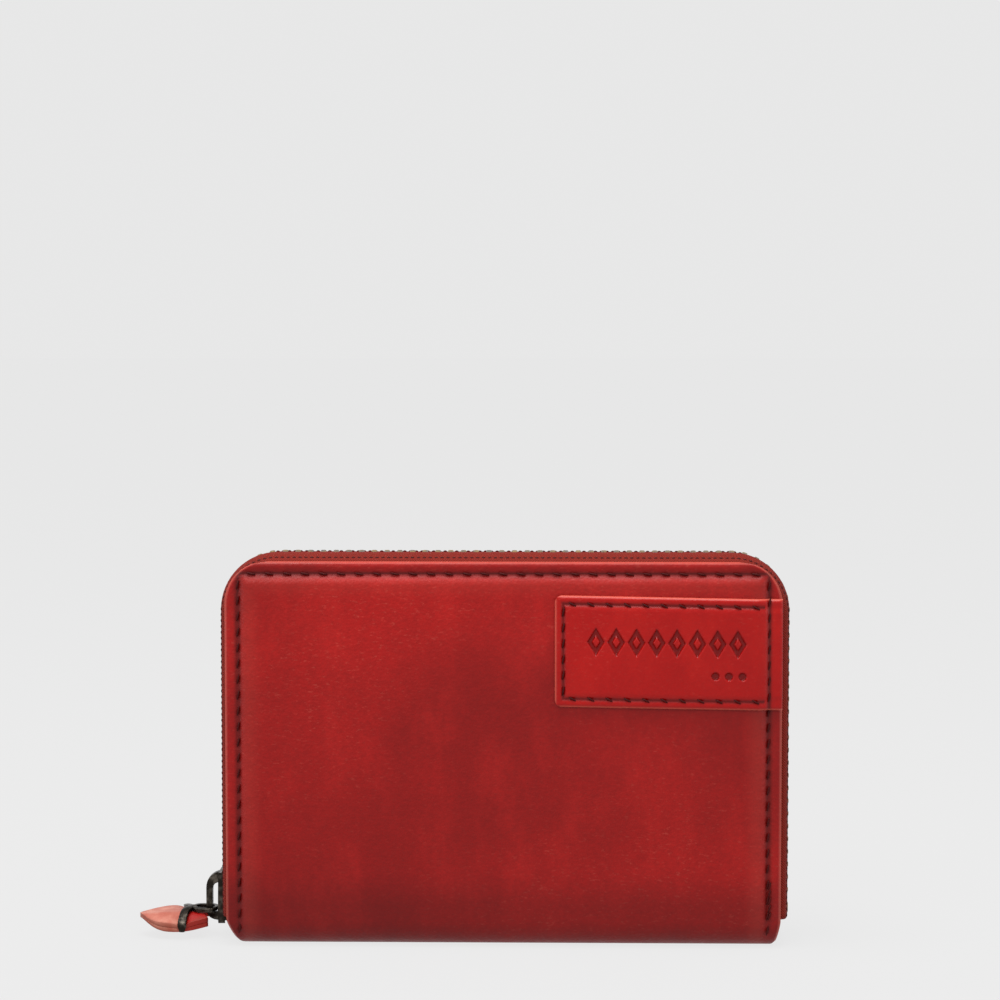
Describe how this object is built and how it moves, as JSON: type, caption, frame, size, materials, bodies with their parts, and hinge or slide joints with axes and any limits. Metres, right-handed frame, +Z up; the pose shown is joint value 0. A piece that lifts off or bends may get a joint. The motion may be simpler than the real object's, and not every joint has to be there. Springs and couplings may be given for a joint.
{
  "type": "zip-around purse",
  "caption": "Red leather zip-around purse on its spine, with card slots, coin pocket, side gussets, metal zip and leather puller.",
  "frame": {"origin": "middle of the spine's flat underside, which the purse stands on", "axes": "+X along the spine to the right of the front cover, -Y out of the front cover, +Z up from the spine to the top of the zip"},
  "size_m": [0.1479, 0.0264, 0.0883],
  "materials": {
    "hide": "waxed pull-up leather, satin, with worn lighter areas",
    "label_hide": "smooth glossy leather",
    "puller_hide": "smooth leather, worn pale on top",
    "inner_leather": "thin matte leather",
    "tape_cloth": "woven cotton tape, matte",
    "lining_cloth": "fine woven lining, matte",
    "board": "bonded fibre board, matte",
    "antique_brass": "antique brass, satin",
    "gunmetal": "blackened gunmetal, satin"
  },
  "bodies": {
    "spine": {"spine_leather": "hide", "spine_lining": "lining_cloth", "coin_pocket_front": "inner_leather", "coin_pocket_back": "inner_leather", "coin_pocket_gusset": "lining_cloth", "coin_zip_tape_front": "tape_cloth", "coin_zip_tape_back": "tape_cloth", "coin_zip_teeth_front": "antique_brass", "coin_zip_teeth_back": "antique_brass", "gusset_front_left": "lining_cloth", "gusset_front_right": "lining_cloth", "gusset_back_left": "lining_cloth", "gusset_back_right": "lining_cloth"},
    "front": {"front_cover_leather": "hide", "front_stiffener": "board", "front_lining": "lining_cloth", "front_card_slot_1": "inner_leather", "front_card_slot_2": "inner_leather", "front_card_slot_3": "inner_leather", "front_zip_tape": "tape_cloth", "front_zip_teeth": "antique_brass", "front_zip_end_stop": "antique_brass", "label_patch": "label_hide"},
    "back": {"back_cover_leather": "hide", "back_stiffener": "board", "back_lining": "lining_cloth", "back_card_slot_1": "inner_leather", "back_card_slot_2": "inner_leather", "back_card_slot_3": "inner_leather", "back_zip_tape": "tape_cloth", "back_zip_teeth": "antique_brass", "back_zip_end_stop": "antique_brass"},
    "slider": {"slider_body": "gunmetal"},
    "puller": {"puller_clip": "gunmetal", "puller_leather": "puller_hide"},
    "coin_slider": {"coin_slider": "gunmetal"},
    "coin_puller": {"coin_puller": "gunmetal"}
  },
  "joints": [
    {"name": "front_open", "type": "hinge", "parent": "spine", "child": "front", "pos_m": [0, -0.0125, 0.00615], "axis": [1, 0, 0], "range_deg": [0, 35], "deforming": ["gusset_front_left", "gusset_front_right"]},
    {"name": "back_open", "type": "hinge", "parent": "spine", "child": "back", "pos_m": [0, 0.0125, 0.00615], "axis": [-1, 0, 0], "range_deg": [0, 35], "deforming": ["gusset_back_left", "gusset_back_right"]},
    {"name": "slider_travel", "type": "slide", "parent": "back", "child": "slider", "axis": [0, 0, 1], "range_m": [0, 0.058]},
    {"name": "puller_swing", "type": "hinge", "parent": "slider", "child": "puller", "pos_m": [-0.0661, 0, 0.0063], "axis": [0, 1, 0], "range_deg": [-8, 52]},
    {"name": "coin_slider_travel", "type": "slide", "parent": "spine", "child": "coin_slider", "axis": [-1, 0, 0], "range_m": [0, 0.076]},
    {"name": "coin_puller_swing", "type": "hinge", "parent": "coin_slider", "child": "coin_puller", "pos_m": [0.04, 0, 0.07075], "axis": [0, 1, 0], "range_deg": [0, 165]}
  ]
}
